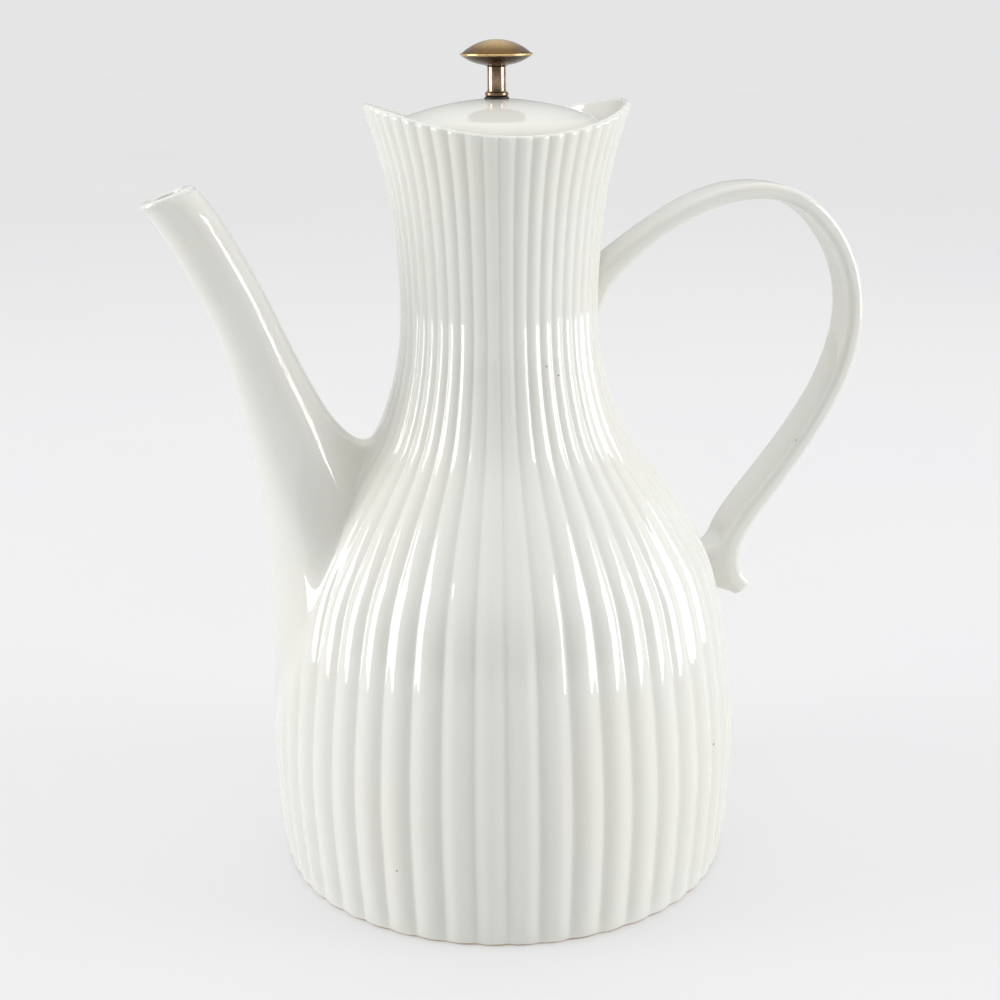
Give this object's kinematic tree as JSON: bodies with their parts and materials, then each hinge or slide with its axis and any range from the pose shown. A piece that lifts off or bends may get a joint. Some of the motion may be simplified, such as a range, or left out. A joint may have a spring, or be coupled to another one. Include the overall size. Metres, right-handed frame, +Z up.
{
  "type": "coffee pot",
  "caption": "Tall reeded porcelain coffee pot with a long smooth spout, strap handle and drop-in domed lid with a brass knob.",
  "frame": {"origin": "centre of the foot ring, on the plane the pot rests on", "axes": "+Z up the pot, -X towards the spout, +X towards the handle; the XZ plane is the plane of symmetry"},
  "size_m": [0.2425, 0.164, 0.2825],
  "materials": {
    "porcelain": "gloss",
    "knob_brass": "satin",
    "stem_brass": "satin",
    "dark_washer": "matte",
    "steel": "satin",
    "cork": "matte"
  },
  "bodies": {
    "pot": {"pot_body": "porcelain", "spout": "porcelain", "handle": "porcelain"},
    "lid_stud": {"knob_stud": "steel"},
    "lid": {"lid_shell": "porcelain", "knob_cap": "knob_brass", "knob_stem": "stem_brass", "knob_washer": "dark_washer", "lid_cork_washer": "cork", "lid_flat_washer": "steel", "lid_nut": "steel"}
  },
  "joints": [
    {"name": "lid_lift", "type": "slide", "parent": "pot", "child": "lid_stud", "axis": [0, 0, 1], "range_m": [0, 0.06]},
    {"name": "lid_turn", "type": "hinge", "parent": "lid_stud", "child": "lid", "pos_m": [0, 0, 0.263], "axis": [0, 0, 1], "continuous": true}
  ]
}
